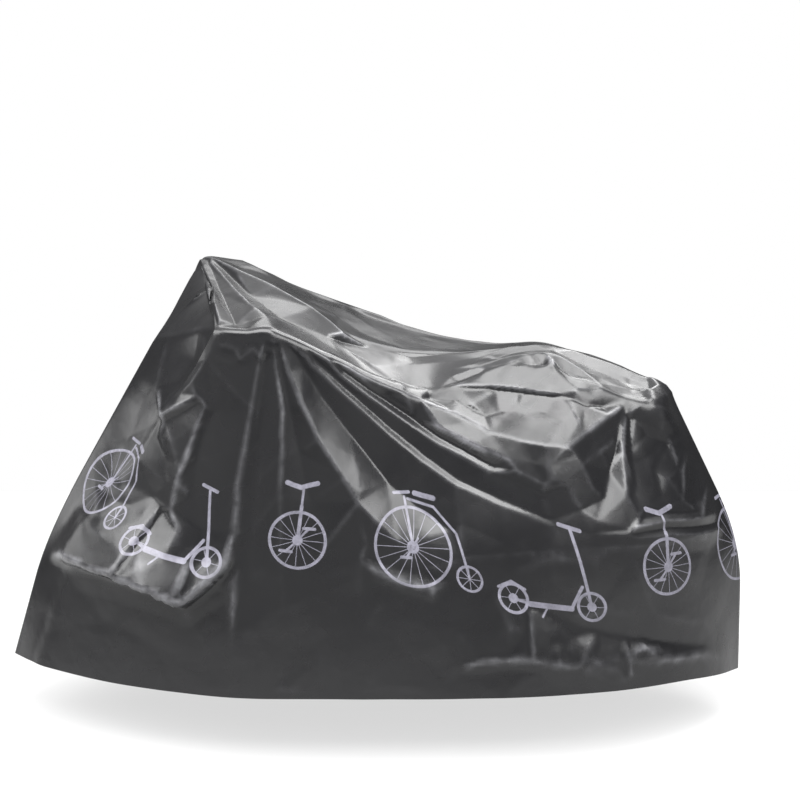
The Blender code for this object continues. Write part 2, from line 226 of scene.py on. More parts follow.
           (0.713, 0.250, 8), (0.769, 0.240, 8), (0.820, 0.238, 7), (0.896, 0.228, 6), (0.955, 0.222, 6),
           (0.989, 0.212, 6), (1.065, 0.198, 4), (1.125, 0.165, 1))),
    Crease("low ledge front top", ((0.550, 0.278, 4), (0.610, 0.280, 4), (0.655, 0.280, 6))),
    Crease("low ledge foot", ((0.500, 0.236, 0), (0.604, 0.248, 1), (0.680, 0.238, 3), (0.751, 0.222, 4),
           (0.835, 0.196, 4), (0.897, 0.192, 4), (0.960, 0.198, 2), (1.050, 0.176, 1))),
    Crease("low facet", ((0.481, 0.340, 1), (0.513, 0.312, 2), (0.538, 0.268, 4))),
    Crease("low facet heel", ((0.614, 0.340, 3), (0.626, 0.358, -1), (0.642, 0.384, -4))),
    Crease("low upright", ((0.659, 0.380, -3), (0.661, 0.331, 3), (0.665, 0.274, 9))),
    Crease("low upright front", ((0.650, 0.376, -5), (0.652, 0.331, -1), (0.656, 0.284, 5))),
    Crease("low fan", ((0.667, 0.269, 8), (0.690, 0.293, 5), (0.733, 0.330, -4))),
    Crease("low fan b", ((0.715, 0.300, 0), (0.722, 0.282, 4), (0.727, 0.246, 9))),
    Crease("low fan b heel", ((0.736, 0.290, 1), (0.742, 0.262, 4))),
    Crease("low fan c", ((0.793, 0.283, 3), (0.783, 0.254, 8))),
    Crease("low fan d", ((0.760, 0.300, -2), (0.770, 0.276, 2))),
    Crease("low tri r", ((0.896, 0.240, 6), (0.927, 0.262, 3), (0.955, 0.228, 6))),
    Crease("low upright 2", ((0.884, 0.283, -4), (0.887, 0.247, 4), (0.896, 0.195, 6))),
    Crease("low upright 2 front", ((0.872, 0.280, -5), (0.876, 0.247, 1), (0.884, 0.200, 3))),
    Crease("low bit", ((0.905, 0.211, 4), (0.964, 0.205, 5), (0.921, 0.188, 2))),
    Crease("low line top", ((0.290, 0.512, 0), (0.340, 0.492, 0), (0.400, 0.470, 0))),
    Crease("low line", ((0.278, 0.500, 3), (0.319, 0.479, 6), (0.364, 0.460, 7), (0.435, 0.438, 6))),
    Crease("low line foot", ((0.300, 0.455, 0), (0.370, 0.425, 0), (0.440, 0.400, 0))),
    Crease("print line", ((0.300, 0.541, 4), (0.360, 0.542, 4))),
    Crease("lower upright", ((0.364, 0.360, 2), (0.364, 0.200, 2))),
    Crease("lower upright 2", ((0.100, 0.400, 2), (0.096, 0.200, 2))),
    Crease("hem", ((-0.440, 0.165, 0), (-0.300, 0.175, 1), (-0.150, 0.180, -1), (0.050, 0.182, 2),
           (0.200, 0.182, -1), (0.450, 0.182, 1), (0.600, 0.182, 2), (0.750, 0.178, -1), (0.860, 0.172, 2),
           (1.000, 0.158, 0), (1.100, 0.135, 0))),
)
# ---- the far side has the same folds, flatter and further forward, as its peak is --------------------
FAR_SHIFT, FAR_SHARE = 0.085, 0.85
FAR_FOOT, FAR_REAR, FAR_FADE = 0.45, 0.55, 0.5   # the shift grows above this height and ahead of this x
# ---- the top, over (x, y) --------------------------------------------------------------------------
TOP_CREASES = (
    Crease("tent front", ((-0.094, 0.250, 4), (-0.084, 0.050, 5), (-0.059, -0.110, 4),
           (-0.037, -0.250, 2))),
    Crease("tent pleat 1", ((-0.100, 0.200, 6), (-0.068, -0.020, 15), (-0.034, -0.230, 9))),
    Crease("tent valley 1", ((-0.082, 0.190, 4), (-0.046, 0.000, 1), (0.000, -0.220, -5))),
    Crease("tent fold", ((-0.086, 0.225, 10), (-0.014, -0.010, 19), (0.039, -0.150, 20),
           (0.066, -0.200, 12))),
    Crease("tent valley 2", ((-0.060, 0.190, 9), (0.020, 0.000, 9), (0.090, -0.140, 3))),
    Crease("tent rear", ((-0.088, 0.258, 12), (-0.028, 0.150, 26), (0.065, 0.035, 36), (0.153, -0.050, 34),
           (0.228, -0.115, 24), (0.300, -0.170, 8))),
    Crease("far hollow", ((-0.020, 0.210, 10), (0.060, 0.130, 15), (0.140, 0.080, 12), (0.220, 0.050, 6),
           (0.300, 0.070, 0), (0.400, 0.080, -2))),
    Crease("far crumple", ((-0.019, 0.275, 4), (0.018, 0.245, 8), (0.062, 0.210, 4))),
    Crease("far edge", ((0.030, 0.275, -4), (0.090, 0.255, -7), (0.180, 0.225, -8), (0.280, 0.185, -8),
           (0.380, 0.145, -5), (0.470, 0.120, -2))),
    Crease("strip upright", ((0.232, 0.190, 0), (0.228, 0.130, 5), (0.222, 0.060, 6))),
    Crease("strip crease top", ((0.210, -0.075, 12), (0.300, -0.062, 6), (0.387, -0.055, 2),
           (0.444, -0.030, 1))),
    Crease("strip crease", ((0.195, -0.145, 9), (0.234, -0.120, 5), (0.296, -0.090, 0), (0.387, -0.078, -2),
           (0.444, -0.050, -2), (0.537, -0.020, -2), (0.640, 0.045, 0))),
    Crease("strip crease foot", ((0.234, -0.150, 5), (0.300, -0.115, 3), (0.390, -0.100, 2),
           (0.450, -0.072, 2), (0.545, -0.045, 3), (0.630, 0.015, 2))),
    Crease("lip top", ((0.106, -0.170, 6), (0.173, -0.175, 5), (0.225, -0.190, 4), (0.300, -0.180, 3))),
    Crease("saddle edge", ((0.480, -0.108, 2), (0.535, -0.088, 7), (0.610, -0.060, 8), (0.668, -0.050, 8),
           (0.700, -0.040, 10))),
    Crease("saddle edge top", ((0.485, -0.084, 2), (0.538, -0.066, 2), (0.610, -0.035, 2),
           (0.664, -0.022, 3))),
    Crease("saddle arc", ((0.580, -0.112, -7), (0.592, -0.092, 4), (0.639, -0.066, 5))),
    Crease("saddle hollow", ((0.500, -0.122, -6), (0.550, -0.116, -14), (0.610, -0.104, -16),
           (0.660, -0.096, -12))),
    Crease("saddle shard", ((0.684, -0.046, 8), (0.692, -0.070, -12), (0.702, -0.088, 0))),
    Crease("saddle shard 2", ((0.698, -0.048, 9), (0.710, -0.068, 10), (0.716, -0.090, 6))),
    Crease("saddle right", ((0.704, -0.020, 8), (0.732, -0.046, 12), (0.777, -0.062, 11),
           (0.815, -0.082, 6))),
    Crease("saddle right foot", ((0.722, -0.066, -4), (0.755, -0.086, -13), (0.793, -0.094, -5))),
    Crease("strip fold", ((0.722, -0.030, 6), (0.825, -0.052, 2), (0.917, -0.056, 3))),
    Crease("strip lower edge", ((0.720, -0.012, 5), (0.810, -0.022, -2), (0.873, -0.028, -4),
           (0.940, -0.030, -2))),
    Crease("rear crest", ((0.730, 0.030, 5), (0.800, 0.030, 12), (0.873, 0.025, 12), (0.935, 0.020, 8))),
    Crease("rear flap", ((0.880, -0.060, 4), (0.935, -0.048, 12), (0.955, -0.020, 10))),
)

# ---- crumple: finer facets of crushed film on top of the creases ------------------------------------
# centre and radii say where, in the same plane; a row with no centre is everywhere.
Crumple = namedtuple("Crumple", "name plane spacing depth centre radii seed")
CRUMPLES = (
    Crumple("near side", "near", 0.075, 0.0012, None, None, 11),
    Crumple("far side", "far", 0.075, 0.0016, None, None, 12),
    Crumple("top", "top", 0.060, 0.0012, None, None, 13),
    Crumple("saddle crumple", "top", 0.026, 0.0045, (0.640, -0.075), (0.130, 0.050), 14),
    Crumple("rear top", "top", 0.030, 0.0040, (0.940, -0.020), (0.080, 0.080), 15),
    Crumple("rear lower side", "near", 0.045, 0.0018, (0.800, 0.290), (0.230, 0.110), 16),
    Crumple("rear upper side", "near", 0.038, 0.0032, (0.960, 0.720), (0.120, 0.120), 17),
    Crumple("front panel", "near", 0.050, 0.0028, (-0.230, 0.520), (0.200, 0.130), 18),
    Crumple("skirt", "near", 0.040, 0.0028, (0.600, 0.810), (0.180, 0.060), 19),
    Crumple("knot", "near", 0.022, 0.0022, (0.030, 0.990), (0.080, 0.040), 20),
)

# ---- the print: a generic staggered row of wheeled toys, in metres of flat film ---------------------
# The row's middle line over (x, height), pulled out of level by the folds.
PRINT_LINE = ((-0.50, 0.650), (-0.178, 0.607), (0.134, 0.560), (0.488, 0.525), (0.819, 0.460),
              (1.180, 0.425))
PRINT_PITCH, PRINT_START = 0.285, 0.13           # between neighbours, and from the front edge
INK_EDGE = 0.0012                                # how soft a line's edge is
SPOKE_WIDTH = 0.0014

Wheel = namedtuple("Wheel", "across up radius width spokes")
Bar = namedtuple("Bar", "start end width")
Motif = namedtuple("Motif", "name raised wheels bars")
MOTIFS = (
    Motif("high wheel", 0.004,
          (Wheel(-0.020, -0.008, 0.086, 0.0065, 18), Wheel(-0.020, -0.008, 0.010, 0.0080, 0),
           Wheel(0.100, -0.068, 0.027, 0.0055, 8)),
          (Bar((-0.020, -0.008), (-0.026, 0.100), 0.0060), Bar((-0.018, 0.096), (0.042, 0.080), 0.0060),
           Bar((0.042, 0.080), (0.084, 0.026), 0.0055), Bar((0.084, 0.026), (0.100, -0.068), 0.0055),
           Bar((-0.052, 0.108), (-0.014, 0.110), 0.0070), Bar((0.000, 0.108), (0.044, 0.098), 0.0110),
           Bar((-0.036, -0.030), (-0.006, 0.012), 0.0050), Bar((-0.048, -0.031), (-0.026, -0.031), 0.0070))),
    Motif("kick scooter", -0.030,
          (Wheel(-0.090, -0.062, 0.032, 0.0070, 6), Wheel(0.092, -0.062, 0.032, 0.0070, 6),
           Wheel(-0.090, -0.062, 0.007, 0.0080, 0), Wheel(0.092, -0.062, 0.007, 0.0080, 0)),
          (Bar((-0.090, -0.062), (-0.052, -0.070), 0.0070), Bar((-0.052, -0.070), (0.044, -0.070), 0.0130),
           Bar((0.044, -0.070), (0.070, -0.018), 0.0080), Bar((0.092, -0.062), (0.052, 0.104), 0.0075),
           Bar((0.028, 0.110), (0.074, 0.102), 0.0085), Bar((-0.122, -0.040), (-0.092, -0.024), 0.0060),
           Bar((-0.092, -0.024), (-0.062, -0.038), 0.0060), Bar((-0.010, -0.070), (-0.026, -0.096), 0.0045))),
    Motif("single wheel", 0.026,
          (Wheel(0.000, -0.034, 0.064, 0.0070, 16), Wheel(0.000, -0.034, 0.008, 0.0080, 0)),
          (Bar((0.000, -0.034), (0.004, 0.044), 0.0085), Bar((0.004, 0.044), (0.006, 0.082), 0.0060),
           Bar((-0.034, 0.096), (0.000, 0.086), 0.0110), Bar((0.000, 0.086), (0.038, 0.098), 0.0110),
           Bar((-0.022, -0.060), (0.022, -0.008), 0.0050), Bar((-0.038, -0.062), (-0.012, -0.062), 0.0070),
           Bar((0.012, -0.006), (0.038, -0.006), 0.0070))),
)

# ---- looks -------------------------------------------------------------------------------------
FILM_COLOUR = (0.0060, 0.0060, 0.0066, 1.0)
FILM_ROUGHNESS = 0.27
INK_COLOUR = (0.125, 0.122, 0.148, 1.0)
FLOOR_COLOUR, FLOOR_GLOW = (0.15, 0.15, 0.15, 1.0), 0.66
CREST_HIGHLIGHT_COLOUR = (0.16, 0.16, 0.17, 1.0)          # painted highlight: film coloured lighter along a sharp crease in place of its glint, partly the whitening creased film has
FLOOR_CORNERS = ((-2.6, -1.35), (2.2, 1.5))

# ---- the studio: radiances, white paper in it being 1, and the directions where each begins and ends --
EYE_LEVEL, BENCH, BEHIND, OVERHEAD = 0.10, 0.60, 1.10, 2.1
OVERHEAD_BAND, RAISED_BAND = (0.45, 0.85), (0.16, 0.36)             # upwards
BENCH_FOOT_BAND, BENCH_TOP_BAND = (-0.46, -0.28), (-0.10, 0.08)
BEHIND_BAND, FRONT_BAND = (0.70, 0.92), (-0.20, 0.20)               # away from the viewer
Softbox = namedtuple("Softbox", "name place aim size radiance")
SOFTBOXES = (
    Softbox("top_softbox", (-0.3, -1.5, 2.3), (-0.3, 0.0, -0.2), (3.2, 2.4), 13.0),
    Softbox("left_softbox", (-2.8, -1.1, 1.35), (-0.3, 0.0, -0.2), (2.2, 2.0), 10.0),
    Softbox("edge_softbox", (-2.7, 0.42, -0.24), (-0.35, -0.1, -0.40), (1.5, 0.5), 2.8),
    Softbox("right_softbox", (1.7, -2.4, 1.4), (-0.3, 0.0, -0.2), (1.4, 2.0), 12.0),
    Softbox("back_softbox", (0.30, 2.9, 1.85), (-0.2, 0.0, 0.1), (3.2, 1.1), 3.5),
    Softbox("rear_softbox", (0.85, 1.4, 1.35), (0.2, 0.0, -0.05), (0.8, 0.6), 12.0),
    Softbox("over_softbox", (1.5, 0.55, 2.5), (0.2, 0.0, 0.0), (1.5, 1.4), 14.0),
)
CAMERA_PLACE, CAMERA_TILT = (-0.286, -5.7163, 1.7297), 72.0
LENS, SENSOR = 116.1, 36.0


def catmull_rom(rows, places):
    """Points at the given places (0 to len(rows) - 1) of a smooth line through the rows."""
    rows = np.asarray(rows, float)
    padded = np.vstack([2 * rows[0] - rows[1], rows, 2 * rows[-1] - rows[-2]])
    span = np.clip(places.astype(int), 0, len(rows) - 2)
    t = (places - span)[:, None]
    a, b, c, d = (padded[span + k] for k in range(4))
    return 0.5 * (2 * b + (c - a) * t + (2 * a - 5 * b + 4 * c - d) * t ** 2
                  + (3 * b - a - 3 * c + d) * t ** 3)


def rounded_line(corners, rounding, places):
    """A line through the corners, each inner corner rounded over a share of its two spans."""
    points = []
    for place in places:
        span = min(int(place), len(corners) - 2)
        point = corners[span] + (corners[span + 1] - corners[span]) * (place - span)
        for corner, share in rounding.items():
            if abs(place - corner) < share:
                s = (place - corner + share) / (2 * share)
                before = corners[corner] + (corners[corner - 1] - corners[corner]) * share
                after = corners[corner] + (corners[corner + 1] - corners[corner]) * share
                point = before * (1 - s) ** 2 + 2 * corners[corner] * s * (1 - s) + after * s ** 2
        points.append(point)
    return np.array(points)


def side_points(far, along, levels):
    """The grid of one side, [level][place along], from the hem up to the spine."""
    names = ("hem", "waist", "far_shoulder" if far else "shoulder", "spine")
    lines = [catmull_rom([getattr(row, name) for row in SECTIONS], along) for name in names]
    if far:
        lines[0], lines[1] = (line * (1, -1, 1) for line in lines[:2])
    return rounded_line(lines, {1: WAIST_ROUND, 2: SHOULDER_ROUND}, levels)


def even_places(cells):
    """Places along the sections that are evenly spaced over the ground, or nearly."""
    fine = np.linspace(0, len(SECTIONS) - 1, FINE_PLACES)
    lines = [catmull_rom([getattr(row, name) for row in SECTIONS], fine) for name in ("waist", "shoulder")]
    steps = sum(np.linalg.norm(np.diff(line, axis=0), axis=1) for line in lines)
    walked = np.concatenate([[0.0], np.cumsum(steps)])
    return np.interp(np.linspace(0, walked[-1], cells + 1), walked, fine)


def cover_grid():
    """The smooth cover: its points, their levels and sides, its faces, and (along, up) for each point."""
    along = even_places(CELLS_ALONG)
    levels = np.concatenate([np.linspace(k, k + 1, cells, endpoint=False)
                             for k, cells in enumerate(CELLS_UP)] + [[len(CELLS_UP)]])
    near, far = (side_points(is_far, along, levels) for is_far in (False, True))
    rows, columns = len(levels), CELLS_ALONG + 1
    near_ids = np.arange(rows * columns).reshape(rows, columns)
    far_ids = near_ids.copy()                  # the sides share the front, rear and spine lines
    inner = np.s_[:-1, 1:-1]
    far_ids[inner] = near_ids.size + np.arange((rows - 1) * (columns - 2)).reshape(rows - 1, -1)
    points = np.vstack([near.reshape(-1, 3), far[inner].reshape(-1, 3)])
    point_levels = np.concatenate([np.repeat(levels, columns), np.repeat(levels[:-1], columns - 2)])
    faces = []
    for ids, order in ((near_ids, (0, 1, 2, 3)), (far_ids, (3, 2, 1, 0))):
        corners = np.stack([ids[:-1, :-1], ids[:-1, 1:], ids[1:, 1:], ids[1:, :-1]], axis=-1)
        faces.append(corners.reshape(-1, 4)[:, order])
    return points, point_levels, np.vstack(faces), (near, far), (near_ids, far_ids)


def smooth_step(value):
    value = np.clip(value, 0.0, 1.0)
    return value * value * (3 - 2 * value)


def point_normals(points, faces):
    """Outward normals, each face weighing by its area."""
    quads = points[faces]
    face_normals = np.cross(quads[:, 2] - quads[:, 0], quads[:, 3] - quads[:, 1])
    normals = np.zeros_like(points)
    for corner in range(4):
        np.add.at(normals, faces[:, corner], face_normals)
    return normals / np.linalg.norm(normals, axis=1)[:, None]


def facet_lift(plane_points, corners, pushes, edges=()):
    """Heights of flat triangles between the corners, with the edges kept as creases."""
    found, _, triangles, origins, *_ = delaunay_2d_cdt(
        [Vector(c) for c in corners], list(edges), [], 0, MERGED)
    found = np.array([tuple(v) for v in found])
    nearest = [o[0] if o else int(np.argmin(np.linalg.norm(corners - v, axis=1)))
               for o, v in zip(origins, found)]
    pushes = pushes[nearest]
    order = np.argsort(plane_points[:, 0])
    sorted_x = plane_points[order, 0]
    heights = np.zeros(len(plane_points))
    for triangle in triangles:
        ids = list(triangle)
        a, b, c = found[ids]
        low, high = np.minimum(np.minimum(a, b), c), np.maximum(np.maximum(a, b), c)
        near = order[np.searchsorted(sorted_x, low[0]):np.searchsorted(sorted_x, high[0], "right")]
        near = near[(plane_points[near, 1] >= low[1]) & (plane_points[near, 1] <= high[1])]
        spread = np.array([b - a, c - a]).T
        if not len(near) or abs(np.linalg.det(spread)) < NO_AREA:
            continue
        second, third = np.linalg.solve(spread, (plane_points[near] - a).T)
        first = 1 - second - third
        held = (first >= -EDGE_SLACK) & (second >= -EDGE_SLACK) & (third >= -EDGE_SLACK)
        push = pushes[ids]
        heights[near[held]] = (first * push[0] + second * push[1] + third * push[2])[held]
    return heights


def scattered(low, high, spacing, rng):
    """Points on a jittered grid over a rectangle."""
    counts = np.maximum(2, np.ceil((high - low) / spacing).astype(int) + 1)
    grid = np.stack(np.meshgrid(*(np.arange(n) for n in counts), indexing="ij"), -1).reshape(-1, 2)
    return low + (grid + rng.uniform(-JITTER, JITTER, grid.shape)) * spacing


def crumple_heights(plane_points, crumple):
    """Heights of crushed film: small facets between scattered points that are pushed in and out."""
    rng = np.random.default_rng(crumple.seed)
    if crumple.centre is None:
        low, high = plane_points.min(0) - crumple.spacing, plane_points.max(0) + crumple.spacing
    else:
        centre, radii = np.array(crumple.centre), np.array(crumple.radii)
        low, high = centre - radii - crumple.spacing, centre + radii + crumple.spacing
    seeds = scattered(low, high, crumple.spacing, rng)
    heights = facet_lift(plane_points, seeds, rng.uniform(-1.0, 1.0, len(seeds)) * crumple.depth)
    if crumple.centre is not None:
        away = np.linalg.norm((plane_points - centre) / radii, axis=1)
        heights *= smooth_step((1 - away) / CRUMPLE_FADE)
    return heights


def crease_heights(plane_points, creases, seed):
    """Heights of the film's facets between its creases, with loose points where there are none."""
    corners, pushes, edges = [], [], []
    for crease in creases:
        first = len(corners)
        corners += [point[:2] for point in crease.route]
        pushes += [point[2] / 1000 for point in crease.route]
        edges += [(k, k + 1) for k in range(first, len(corners) - 1)]
    corners, pushes = np.array(corners), np.array(pushes)
    rng = np.random.default_rng(seed)
    low, high = plane_points.min(0) - LOOSE_SPACING, plane_points.max(0) + LOOSE_SPACING
    loose = scattered(low, high, LOOSE_SPACING, rng)
    gap = np.full(len(loose), np.inf)
    for k, m in edges:
        step = corners[m] - corners[k]
        t = np.clip((loose - corners[k]) @ step / (step @ step), 0.0, 1.0)
        gap = np.minimum(gap, np.linalg.norm(loose - corners[k] - t[:, None] * step, axis=1))
    loose = loose[gap > LOOSE_GAP * LOOSE_SPACING]
    pushes = np.concatenate([pushes, rng.uniform(-1.0, 1.0, len(loose)) * LOOSE_PUSH])
    return facet_lift(plane_points, np.vstack([corners, loose]), pushes, edges)


def smoothed(heights, ids):
    """The heights with creases rounded over about one grid cell."""
    grid = heights[ids]
    for axis in (0, 1):
        padded = np.concatenate([np.take(grid, [0], axis), grid, np.take(grid, [-1], axis)], axis)
        length = grid.shape[axis]
        parts = [np.take(padded, np.arange(k, k + length), axis) for k in range(3)]
        grid = 0.25 * parts[0] + 0.5 * parts[1] + 0.25 * parts[2]
    heights = heights.copy()
    heights[ids] = grid
    return heights


def snapped(plane_points, creases):
    """The points, each moved on to the nearest crease where that is within SNAP or less."""
    moved, nearest = plane_points.copy(), np.full(len(plane_points), SNAP)
    for crease in creases:
        route = np.array(crease.route)[:, :2]
        for start, end in zip(route[:-1], route[1:]):
            low, high = np.minimum(start, end) - SNAP, np.maximum(start, end) + SNAP
            near = np.flatnonzero(np.all((plane_points > low) & (plane_points < high), axis=1))
            arm, step = plane_points[near] - start, end - start
            foot = start + np.clip(arm @ step / (step @ step), 0.0, 1.0)[:, None] * step
            away = np.linalg.norm(plane_points[near] - foot, axis=1)
            reach = SNAP * np.max(np.abs(step)) / np.linalg.norm(step)
            closer = (away < nearest[near]) & (away < reach)
            moved[near[closer]], nearest[near[closer]] = foot[closer], away[closer]
    return moved


def kept_apart(grid, moves):
    """The moves of one side's grid, without those that bring two neighbours together."""
    moves = moves.copy()
    for axis in (0, 1):
        length = grid.shape[axis]
        place, size = grid + moves, np.linalg.norm(moves, axis=2)
        one, two = (np.take(np.arange(grid[..., 0].size).reshape(grid.shape[:2]), span, axis).ravel()
                    for span in (np.arange(length - 1), np.arange(1, length)))
        place, size = place.reshape(-1, 3), size.ravel()
        close = (np.linalg.norm(place[one] - place[two], axis=1) < SNAP) & (size[one] > 0) & (size[two] > 0)
        further = np.where(size[one] > size[two], one, two)[close]
        moves.reshape(-1, 3)[further] = 0.0
    return moves


def uncrossed(points, moves, faces):
    """The moves, without those that turn part of a quad inside out or nearly flatten it."""
    moves = moves.copy()
    for corners in ((0, 1, 2), (0, 2, 3), (0, 1, 3), (1, 2, 3)) * 2:
        three = faces[:, corners]
        first, second, third = three.T
        before, after = (np.cross(place[second] - place[first], place[third] - place[first])
                         for place in (points, points + moves))
        crossed = np.sum(before * after, axis=1) < LEAST_SHARE * np.sum(before * before, axis=1)
        moves[three[crossed]] = 0.0
    return moves


def crease_groups(points, levels):
    """How each part of the cover takes its creases: (creases, plane, weight, shift, share, seed)."""
    on_side = smooth_step((SHOULDER_LEVEL + SIDE_FADE - levels) / (2 * SIDE_FADE))
    near_weight = on_side * smooth_step(-points[:, 1] / EDGE_FADE)
    far_weight = on_side * smooth_step(points[:, 1] / EDGE_FADE)
    shift = np.zeros((len(points), 2))
    shift[:, 0] = (FAR_SHIFT * smooth_step((points[:, 2] - FAR_FOOT) / FAR_FADE)
                   * smooth_step((FAR_REAR - points[:, 0]) / FAR_FADE))
    return {"near": (NEAR_CREASES, (0, 2), near_weight, 0.0, 1.0, 21),
            "far": (NEAR_CREASES, (0, 2), far_weight, shift, FAR_SHARE, 22),
            "top": (TOP_CREASES, (0, 1), 1 - on_side, 0.0, 1.0, 23)}


def crease_moves(points, levels, normals, ids):
    """How far each point moves along the smooth cover on to a crease."""
    moves = np.zeros_like(points)
    for creases, plane, weight, shift, *_ in crease_groups(points, levels).values():
        off = 3 - sum(plane)
        facing = np.flatnonzero((weight > FULLY_ON) & (np.abs(normals[:, off]) > FACING) & (levels > 0))
        flat = (points[:, plane] + shift)[facing]
        move = np.zeros((len(flat), 3))
        move[:, plane] = snapped(flat, [crease for crease in creases if SOFT not in crease.name]) - flat
        move[:, off] = -np.sum(move * normals[facing], axis=1) / normals[facing, off]
        move[np.linalg.norm(move, axis=1) > SNAP] = 0.0
        moves[facing] += move
    for side in ids:
        moves[side] = kept_apart(points[side], moves[side])
    return moves


def crease_lift(points, levels):
    """How far the creased cover stands off the smooth one."""
    lift = np.zeros(len(points))
    for name, (creases, plane, weight, shift, share, seed) in crease_groups(points, levels).items():
        used = weight > 0
        flat = (points[:, plane] + shift)[used]
        heights = share * crease_heights(flat, creases, seed)
        for crumple in CRUMPLES:
            if crumple.plane == name:
                heights += crumple_heights(flat, crumple)
        lift[used] += weight[used] * heights
    return lift


def folded(points, levels, faces, ids):
    """The creased cover: its points, their moves along the smooth cover, how crisp each one's crest
    is, and whether each quad's fold runs between its second and last corner."""
    normals = point_normals(points, faces)
    moves = uncrossed(points, crease_moves(points, levels, normals, ids), faces)
    places = points + moves
    lift = crease_lift(places, levels)
    middle = crease_lift(places[faces].mean(axis=1), levels[faces].mean(axis=1))
    ends = lift[faces]
    turned = (np.abs(ends[:, [1, 3]].mean(axis=1) - middle) < np.abs(ends[:, [0, 2]].mean(axis=1) - middle))
    for far in (False, True):          # at the spine's ends the two sides share three corners of a quad
        end = len(faces) // (1 if far else 2)
        turned[end - CELLS_ALONG], turned[end - 1] = not far, far
    rounded = lift
    for side in ids:
        rounded = smoothed(rounded, side)
    # crest: how far each point stands above its rounded neighbours, the mask of the painted crest highlight
    crest = lift - rounded
    for side in ids:
        crest = smoothed(crest, side)
    crest = np.clip(crest / CREST_HEIGHT, 0.0, 1.0)
    lift = rounded + CRISPNESS * (lift - rounded)
    return places + lift[:, None] * normals, moves, crest, turned


def node(tree, kind, **inputs):
    """A shader node with its inputs set: a value, or another node's output to link."""
    made = tree.nodes.new(kind)
    for name, value in inputs.items():
        key = int(name[1:]) if name[0] == "i" and name[1:].isdigit() else name.replace("_", " ")
        if isinstance(value, bpy.types.NodeSocket):
            tree.links.new(value, made.inputs[key])
        else:
            made.inputs[key].default_value = value
    return made


def maths(tree, operation, *values, clamp=False):
    made = node(tree, "ShaderNodeMath", **{f"i{k}": value for k, value in enumerate(values)})
    made.operation, made.use_clamp = operation, clamp
    return made.outputs["Value"]


def vector_maths(tree, operation, *values, output="Vector", **inputs):
    made = node(tree, "ShaderNodeVectorMath", **{f"i{k}": value for k, value in enumerate(values)}, **inputs)
    made.operation = operation
    return made.outputs[output]


def wheel_ink(tree, place, wheel):
    """How far a place is outside a wheel's rim and spokes, in metres: below 0 is ink."""
    arm = vector_maths(tree, "SUBTRACT", place, (wheel.across, wheel.up, 0.0))
    away = vector_maths(tree, "LENGTH", arm, output="Value")
    from_rim = maths(tree, "ABSOLUTE", maths(tree, "SUBTRACT", away, wheel.radius))
    rim = maths(tree, "SUBTRACT", from_rim, wheel.width / 2)
    if not wheel.spokes:
        return rim
    parts = node(tree, "ShaderNodeSeparateXYZ", Vector=arm)
    turn = maths(tree, "ARCTAN2", parts.outputs["Y"], parts.outputs["X"])
    aside = maths(tree, "MULTIPLY", maths(tree, "PINGPONG", turn, math.pi / wheel.spokes), away)
    spoke = maths(tree, "MAXIMUM", maths(tree, "SUBTRACT", aside, SPOKE_WIDTH / 2),
                  maths(tree, "SUBTRACT", away, wheel.radius))
    return maths(tree, "MINIMUM", rim, spoke)


def bar_ink(tree, place, bar):
    """How far a place is outside a straight bar with round ends, in metres: below 0 is ink."""
    start = Vector((*bar.start, 0.0))
    run = Vector((*bar.end, 0.0)) - start
    arm = vector_maths(tree, "SUBTRACT", place, tuple(start))
    share = vector_maths(tree, "DOT_PRODUCT", arm, tuple(run / run.length_squared), output="Value")
    share = maths(tree, "ADD", share, 0.0, clamp=True)
    foot = vector_maths(tree, "SCALE", tuple(run), i3=share)
    return maths(tree, "SUBTRACT", vector_maths(tree, "DISTANCE", arm, foot, output="Value"), bar.width / 2)


def print_mask(tree):
    """1 where the film is printed. The UV map holds metres along the row and up from its middle line."""
    flat = node(tree, "ShaderNodeSeparateXYZ", Vector=tree.nodes.new("ShaderNodeUVMap").outputs["UV"])
    reach = PRINT_PITCH * len(MOTIFS) / 2
    outside = None
    for k, motif in enumerate(MOTIFS):
        along = maths(tree, "SUBTRACT", flat.outputs["X"], PRINT_START + k * PRINT_PITCH)
        across = maths(tree, "WRAP", along, reach, -reach)
        up = maths(tree, "SUBTRACT", flat.outputs["Y"], motif.raised)
        place = node(tree, "ShaderNodeCombineXYZ", X=across, Y=up).outputs["Vector"]
        for ink in ([wheel_ink(tree, place, wheel) for wheel in motif.wheels]
                    + [bar_ink(tree, place, bar) for bar in motif.bars]):
            outside = ink if outside is None else maths(tree, "MINIMUM", outside, ink)
    return maths(tree, "MULTIPLY_ADD", outside, -1 / INK_EDGE, 0.5, clamp=True)


